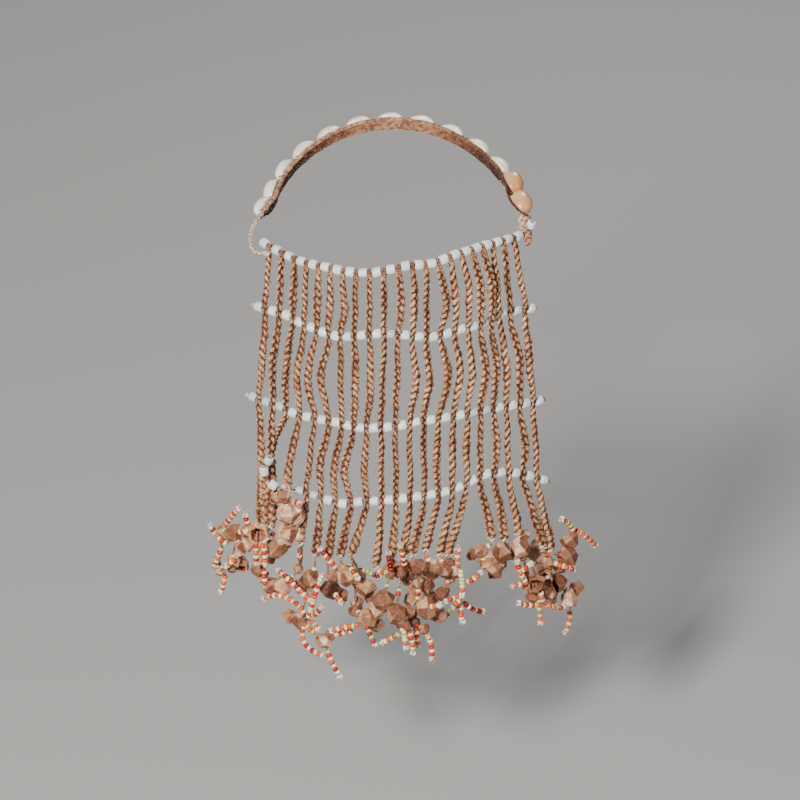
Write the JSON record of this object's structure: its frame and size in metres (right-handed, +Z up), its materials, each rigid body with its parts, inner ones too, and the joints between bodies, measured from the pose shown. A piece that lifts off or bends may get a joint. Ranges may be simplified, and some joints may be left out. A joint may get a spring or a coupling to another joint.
{
  "type": "modesty apron",
  "caption": "Beaded and corded modesty apron in its worn shape: an open cowrie waistband, an openwork panel of plaited cords and white bead rows, and a hem of nut-shell tassels.",
  "frame": {"origin": "middle of the waist, at the height of the top bead row", "axes": "+Z up, -Y to the front, where the panel hangs, +X to the right as seen from the front"},
  "size_m": [0.3371, 0.2739, 0.423],
  "materials": {
    "band_hide": "dry and fibrous, tan outside, dark brown inside",
    "cowrie_shell": "glossy ivory shell",
    "white_bead": "opaque white glass, satin",
    "plaited_fibre": "matte plaited plant fibre",
    "nut_shell": "matte nut shell, with strands of small glass beads"
  },
  "bodies": {
    "root": {"waistband": "band_hide", "cowrie_01": "cowrie_shell", "cowrie_02": "cowrie_shell", "cowrie_03": "cowrie_shell", "cowrie_04": "cowrie_shell", "cowrie_05": "cowrie_shell", "cowrie_06": "cowrie_shell", "cowrie_07": "cowrie_shell", "cowrie_08": "cowrie_shell", "cowrie_09": "cowrie_shell", "cowrie_10": "cowrie_shell", "cowrie_11": "cowrie_shell", "cowrie_12": "cowrie_shell", "cowrie_13": "cowrie_shell", "left_thong": "plaited_fibre", "right_tie": "plaited_fibre", "bead_row_1": "white_bead", "bead_row_2": "white_bead", "bead_row_3": "white_bead", "bead_row_4": "white_bead", "cord_01": "plaited_fibre", "cord_02": "plaited_fibre", "cord_03": "plaited_fibre", "cord_04": "plaited_fibre", "cord_05": "plaited_fibre", "cord_06": "plaited_fibre", "cord_07": "plaited_fibre", "cord_08": "plaited_fibre", "cord_09": "plaited_fibre", "cord_10": "plaited_fibre", "cord_11": "plaited_fibre", "cord_12": "plaited_fibre", "cord_13": "plaited_fibre", "cord_14": "plaited_fibre", "cord_15": "plaited_fibre", "cord_16": "plaited_fibre", "cord_17": "plaited_fibre", "cord_18": "plaited_fibre", "cord_19": "plaited_fibre", "cord_20": "plaited_fibre", "cord_21": "plaited_fibre", "tassel_01": "nut_shell", "tassel_02": "nut_shell", "tassel_03": "nut_shell", "tassel_04": "nut_shell", "tassel_05": "nut_shell", "tassel_06": "nut_shell", "tassel_07": "nut_shell", "tassel_08": "nut_shell", "tassel_09": "nut_shell", "tassel_10": "nut_shell", "tassel_11": "nut_shell", "tassel_12": "nut_shell", "tassel_13": "nut_shell", "tassel_14": "nut_shell", "tassel_15": "nut_shell", "tassel_16": "nut_shell", "tassel_17": "nut_shell", "tassel_18": "nut_shell"}
  },
  "joints": []
}
